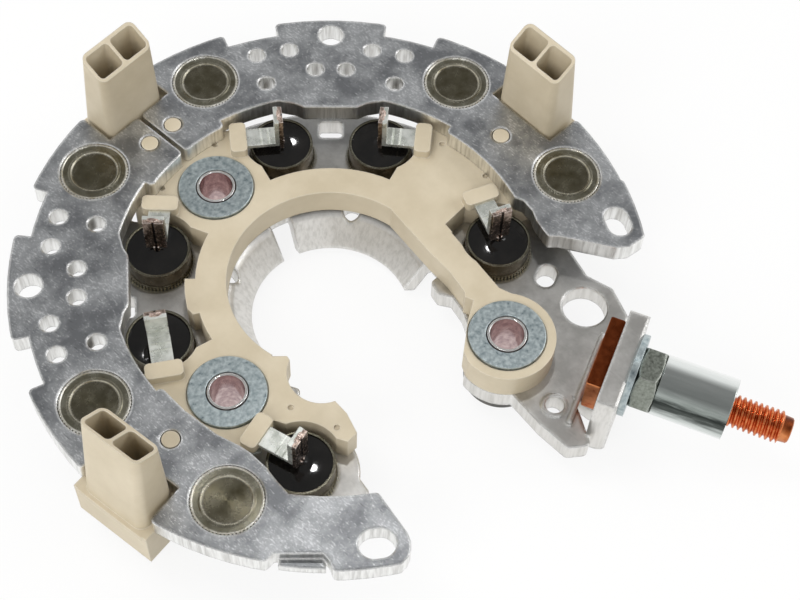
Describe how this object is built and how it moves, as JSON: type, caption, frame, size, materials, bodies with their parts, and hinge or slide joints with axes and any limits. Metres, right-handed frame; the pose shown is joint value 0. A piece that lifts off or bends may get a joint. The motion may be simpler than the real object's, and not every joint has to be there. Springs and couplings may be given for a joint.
{
  "type": "alternator rectifier",
  "caption": "Horseshoe diode plate for an alternator: press-fit diodes in aluminium heat sinks, an insulating carrier with phase sockets, and an output stud.",
  "frame": {"origin": "on the alternator's shaft axis, in the plane of the insulating feet", "axes": "+Z along the shaft away from the stator, +Y to the split between the negative plates, +X to the side of the output stud"},
  "size_m": [0.12, 0.1409, 0.0364],
  "materials": {
    "plate_aluminium": "stamped, lightly tumbled, bright sheared edges",
    "carrier_plastic": "moulded glass-filled plastic",
    "cup_metal": "nickel-plated copper, dulled by baking",
    "potting": "cast potting compound",
    "lead_copper": "tinned copper, bare where it was welded",
    "terminal_tin": "bright tin plate on copper strip",
    "washer_zinc": "zinc plate",
    "eyelet_steel": "bright plated tube",
    "foot_plastic": "moulded phenolic",
    "bolt_copper": "bare copper, cold headed, rolled thread",
    "nut_steel": "phosphated steel",
    "sleeve_chrome": "turned and bright plated"
  },
  "bodies": {
    "root": {"negative_plate_left": "plate_aluminium", "negative_plate_right": "plate_aluminium", "positive_plate": "plate_aluminium", "terminal_carrier": "carrier_plastic", "negative_cup_1": "cup_metal", "negative_cup_2": "cup_metal", "negative_cup_3": "cup_metal", "negative_cup_4": "cup_metal", "negative_cup_5": "cup_metal", "negative_cup_6": "cup_metal", "negative_fill_1": "potting", "negative_fill_2": "potting", "negative_fill_3": "potting", "negative_fill_4": "potting", "negative_fill_5": "potting", "negative_fill_6": "potting", "negative_lead_1": "lead_copper", "negative_lead_2": "lead_copper", "negative_lead_3": "lead_copper", "negative_lead_4": "lead_copper", "negative_lead_5": "lead_copper", "negative_lead_6": "lead_copper", "positive_cup_1": "cup_metal", "positive_cup_2": "cup_metal", "positive_cup_3": "cup_metal", "positive_cup_4": "cup_metal", "positive_cup_5": "cup_metal", "positive_cup_6": "cup_metal", "positive_fill_1": "potting", "positive_fill_2": "potting", "positive_fill_3": "potting", "positive_fill_4": "potting", "positive_fill_5": "potting", "positive_fill_6": "potting", "positive_lead_1": "lead_copper", "positive_lead_2": "lead_copper", "positive_lead_3": "lead_copper", "positive_lead_4": "lead_copper", "positive_lead_5": "lead_copper", "positive_lead_6": "lead_copper", "phase_terminal_1": "terminal_tin", "phase_terminal_2": "terminal_tin", "phase_terminal_3": "terminal_tin", "phase_terminal_4": "terminal_tin", "phase_terminal_5": "terminal_tin", "phase_terminal_6": "terminal_tin", "mount_washer_1": "washer_zinc", "mount_washer_2": "washer_zinc", "mount_washer_3": "washer_zinc", "mount_eyelet_1": "eyelet_steel", "mount_eyelet_2": "eyelet_steel", "mount_eyelet_3": "eyelet_steel", "mount_foot_1": "foot_plastic", "mount_foot_2": "foot_plastic", "mount_foot_3": "foot_plastic", "terminal_bolt": "bolt_copper", "terminal_washer": "washer_zinc", "terminal_nut": "nut_steel", "terminal_sleeve": "sleeve_chrome"}
  },
  "joints": []
}
